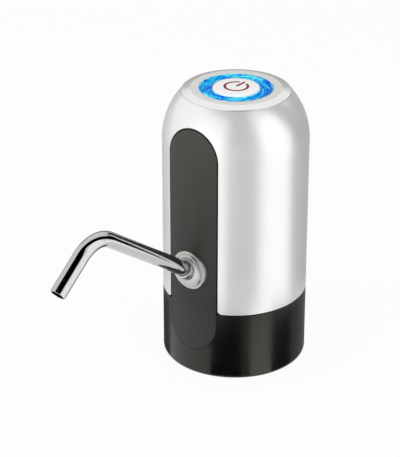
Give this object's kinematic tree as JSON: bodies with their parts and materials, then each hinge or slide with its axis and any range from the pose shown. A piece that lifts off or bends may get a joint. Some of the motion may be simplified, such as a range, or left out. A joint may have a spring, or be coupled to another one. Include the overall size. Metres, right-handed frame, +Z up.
{
  "type": "electric water jug pump",
  "caption": "Upright cylindrical pump that drops over a water jug's neck, with a lit push button on top and a bent steel spout held in a collar at the front.",
  "frame": {"origin": "bottom centre of the bore that drops over the jug's neck, level with the base's lower rim", "axes": "+Z up along the body's axis, -Y along the reach of the spout, +X to the right seen from the front"},
  "size_m": [0.07, 0.1635, 0.138],
  "materials": {
    "shell_white": "satin pearl white",
    "panel_grey": "satin dark grey",
    "base_black": "satin black",
    "sleeve_black": "matt black",
    "seal_grey": "matt silicone",
    "bezel_white": "gloss white",
    "light_blue": "clear blue light guide",
    "icon_red": "dark red inlay",
    "collar_silver": "satin plated",
    "spout_steel": "mirror polished",
    "pipe_white": "moulded",
    "hose_clear": "milky silicone",
    "chassis_cream": "moulded",
    "pump_grey": "moulded",
    "gear_ivory": "moulded acetal",
    "screw_steel": "zinc plated",
    "motor_steel": "nickel plated",
    "motor_cap": "moulded",
    "magnet_grey": "sintered ferrite",
    "armature_copper": "wound laminations",
    "contact_brass": "turned",
    "cell_blue": "plastic sleeve on a steel can",
    "board_green": "solder mask",
    "part_black": "moulded",
    "led_clear": "clear",
    "usb_steel": "plated",
    "lead_red": "insulated wire"
  },
  "bodies": {
    "housing": {"outer_shell": "shell_white", "front_panel": "panel_grey", "base_housing": "base_black", "neck_sleeve": "sleeve_black", "neck_seal": "seal_grey", "inlet_gasket": "seal_grey", "shaft_seal": "seal_grey", "pump_gasket": "seal_grey", "top_bezel": "bezel_white", "light_ring": "light_blue", "outlet_elbow": "pipe_white", "inlet_nipple": "pipe_white", "inlet_nut": "pipe_white", "inlet_hose": "hose_clear", "outlet_hose": "hose_clear", "chassis": "chassis_cream", "pump_cover": "pump_grey", "pump_body": "pump_grey", "elbow_screws": "screw_steel", "base_screws": "screw_steel", "pump_screws": "screw_steel", "board_screws": "screw_steel", "idler_pin": "screw_steel", "motor_can": "motor_steel", "battery_tabs": "motor_steel", "motor_end_cap": "motor_cap", "motor_magnets": "magnet_grey", "motor_bushes": "contact_brass", "motor_brushes": "contact_brass", "motor_terminals": "contact_brass", "battery_cell": "cell_blue", "control_board": "board_green", "charge_board": "board_green", "switch_body": "part_black", "board_chips": "part_black", "charge_chips": "part_black", "usb_tongue": "part_black", "ring_leds": "led_clear", "charge_light": "led_clear", "usb_socket": "usb_steel", "battery_leads": "lead_red", "motor_leads": "lead_red", "board_leads": "lead_red"},
    "button": {"power_button": "bezel_white", "power_icon": "icon_red"},
    "plunger": {"switch_plunger": "part_black"},
    "spout_plug": {"spout_collar": "collar_silver", "spout_seals": "seal_grey"},
    "spout": {"spout_tube": "spout_steel"},
    "rotor": {"motor_shaft": "screw_steel", "motor_armature": "armature_copper", "motor_commutator": "contact_brass", "drive_gear": "gear_ivory"},
    "idler": {"idler_gear": "gear_ivory"}
  },
  "joints": [
    {"name": "button_press", "type": "slide", "parent": "housing", "child": "button", "axis": [0, 0, -1], "range_m": [0, 0.0008], "stiffness_N_per_m": 2500},
    {"name": "plunger_press", "type": "slide", "parent": "housing", "child": "plunger", "axis": [0, 0, -1], "range_m": [0, 0.0008]},
    {"name": "spout_pull", "type": "slide", "parent": "housing", "child": "spout_plug", "axis": [0, -0.8251, 0.565], "range_m": [0, 0.02]},
    {"name": "spout_turn", "type": "hinge", "parent": "spout_plug", "child": "spout", "pos_m": [0, -0.0358, 0.0556], "axis": [0, -0.8251, 0.565], "continuous": true},
    {"name": "motor_spin", "type": "hinge", "parent": "housing", "child": "rotor", "pos_m": [-0.0015, 0.0084, 0.08], "axis": [0, 0, 1], "continuous": true},
    {"name": "idler_spin", "type": "hinge", "parent": "housing", "child": "idler", "pos_m": [-0.0015, -0.0024, 0.06], "axis": [0, 0, 1], "continuous": true}
  ],
  "couplings": [
    {"joint": "plunger_press", "follows": "button_press", "ratio": 1},
    {"joint": "idler_spin", "follows": "motor_spin", "ratio": -1}
  ]
}
